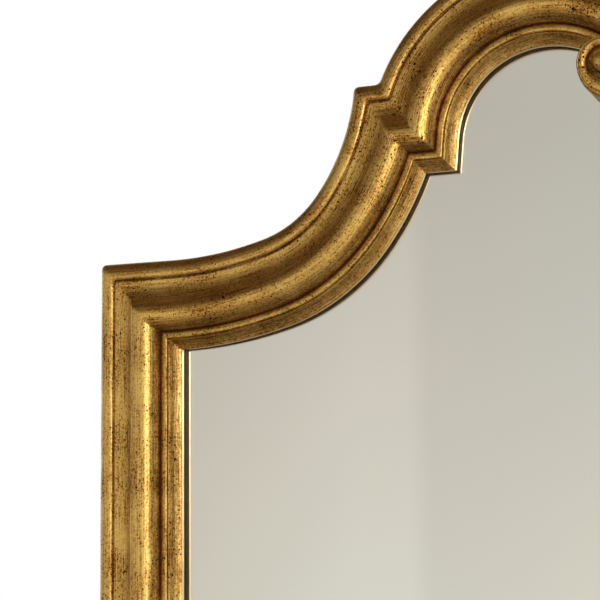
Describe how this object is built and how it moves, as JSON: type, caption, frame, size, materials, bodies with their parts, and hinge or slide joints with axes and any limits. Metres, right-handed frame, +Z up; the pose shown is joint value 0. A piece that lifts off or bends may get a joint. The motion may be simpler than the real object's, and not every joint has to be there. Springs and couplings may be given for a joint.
{
  "type": "baroque wall mirror",
  "caption": "Tall wall mirror in a mitred gilded moulding with coved shoulders, level ears, round arches and a carved shell crest, hung by swinging D-rings.",
  "frame": {"origin": "on the wall plane, at the rear face of the back board, at the middle of the mirror's width and height", "axes": "+X to the right seen from the front, +Y out of the back towards the wall, +Z up"},
  "size_m": [1.0164, 0.0516, 1.5239],
  "materials": {
    "gilded_wood": "gold leaf over red bole, rubbed, glazed and fly-specked",
    "mirror_glass": "silvered float glass",
    "hardboard": "brown hardboard, mesh side out",
    "beech": "plain beech dowel",
    "grey_felt": "grey felt sheet",
    "zinc_steel": "zinc-plated steel",
    "brassed_steel": "brass-plated steel",
    "black_rubber": "matte black rubber"
  },
  "bodies": {
    "frame": {"left_stile": "gilded_wood", "right_stile": "gilded_wood", "bottom_rail": "gilded_wood", "left_shoulder": "gilded_wood", "right_shoulder": "gilded_wood", "left_ear": "gilded_wood", "right_ear": "gilded_wood", "left_arch": "gilded_wood", "right_arch": "gilded_wood", "crest_block": "gilded_wood", "crest_shell": "gilded_wood", "crest_left_scroll": "gilded_wood", "crest_right_scroll": "gilded_wood", "crest_boss": "gilded_wood", "crest_screws": "zinc_steel", "crest_dowels": "beech", "mitre_dowels": "beech", "corner_plates": "zinc_steel", "corner_plate_screws": "zinc_steel", "mirror_glass": "mirror_glass", "glass_setting_blocks": "black_rubber", "glass_edge_spacers": "black_rubber", "cushion_sheet": "grey_felt", "back_board": "hardboard", "back_board_screws": "zinc_steel", "left_hanger_strap": "brassed_steel", "right_hanger_strap": "brassed_steel", "hanger_screws": "brassed_steel", "wall_bumpers": "black_rubber"},
    "left_ring": {"left_hanger_ring": "brassed_steel"},
    "right_ring": {"right_hanger_ring": "brassed_steel"}
  },
  "joints": [
    {"name": "left_ring_swing", "type": "hinge", "parent": "frame", "child": "left_ring", "pos_m": [-0.47627, -0.00332, 0.217], "axis": [1, 0, 0], "range_deg": [0, 180]},
    {"name": "right_ring_swing", "type": "hinge", "parent": "frame", "child": "right_ring", "pos_m": [0.47627, -0.00332, 0.217], "axis": [1, 0, 0], "range_deg": [0, 180]}
  ]
}
